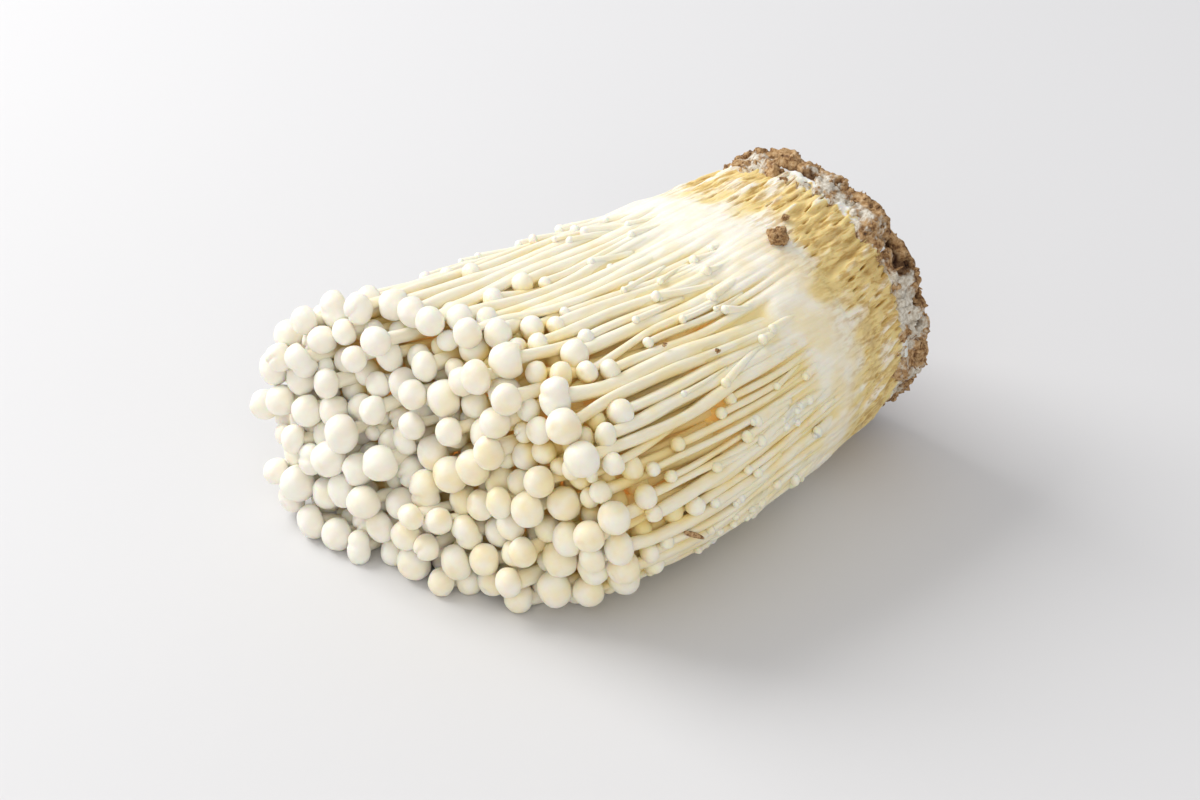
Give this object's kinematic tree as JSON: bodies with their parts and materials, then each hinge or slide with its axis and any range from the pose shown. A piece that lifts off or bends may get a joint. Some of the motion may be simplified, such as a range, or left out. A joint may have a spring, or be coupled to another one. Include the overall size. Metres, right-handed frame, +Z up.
{
  "type": "enoki mushroom cluster",
  "caption": "Whole bunch of fresh enoki lying on its side: long pale stems with small round caps, grown together at a foot with a sawdust crust.",
  "frame": {"origin": "under the middle of the cluster, at the centre of its bounding box's bottom face, on the surface that it lies on", "axes": "+X along the sheaf towards the sawdust crust, caps towards -X; +Y towards the side where the stems are longest; +Z up"},
  "size_m": [0.1588, 0.1238, 0.077],
  "materials": {
    "sawdust": "crumbly brown sawdust with white mycelium patches, fully matt",
    "foot_flesh": "yellow-ochre grooved stem feet under white mycelium, matt",
    "stem_flesh": "cream to ivory, smooth, slightly moist and translucent"
  },
  "bodies": {
    "root": {"substrate_crust": "sawdust", "stem_base": "foot_flesh", "tuft_01": "stem_flesh", "tuft_02": "stem_flesh", "tuft_03": "stem_flesh", "tuft_04": "stem_flesh", "tuft_05": "stem_flesh", "tuft_06": "stem_flesh", "tuft_07": "stem_flesh", "tuft_08": "stem_flesh", "tuft_09": "stem_flesh", "tuft_10": "stem_flesh", "tuft_11": "stem_flesh", "tuft_12": "stem_flesh", "tuft_13": "stem_flesh", "tuft_14": "stem_flesh", "tuft_15": "stem_flesh", "tuft_16": "stem_flesh", "tuft_17": "stem_flesh", "tuft_18": "stem_flesh", "tuft_19": "stem_flesh", "tuft_20": "stem_flesh", "tuft_21": "stem_flesh", "tuft_22": "stem_flesh", "tuft_23": "stem_flesh", "tuft_24": "stem_flesh", "tuft_25": "stem_flesh", "tuft_26": "stem_flesh", "tuft_27": "stem_flesh", "tuft_28": "stem_flesh", "tuft_29": "stem_flesh", "tuft_30": "stem_flesh", "tuft_31": "stem_flesh", "tuft_32": "stem_flesh", "tuft_33": "stem_flesh", "tuft_34": "stem_flesh", "tuft_35": "stem_flesh", "tuft_36": "stem_flesh", "tuft_37": "stem_flesh", "sawdust_crumb_1": "sawdust", "sawdust_crumb_2": "sawdust", "sawdust_crumb_3": "sawdust", "sawdust_crumb_4": "sawdust", "wood_splinter": "sawdust"}
  },
  "joints": []
}
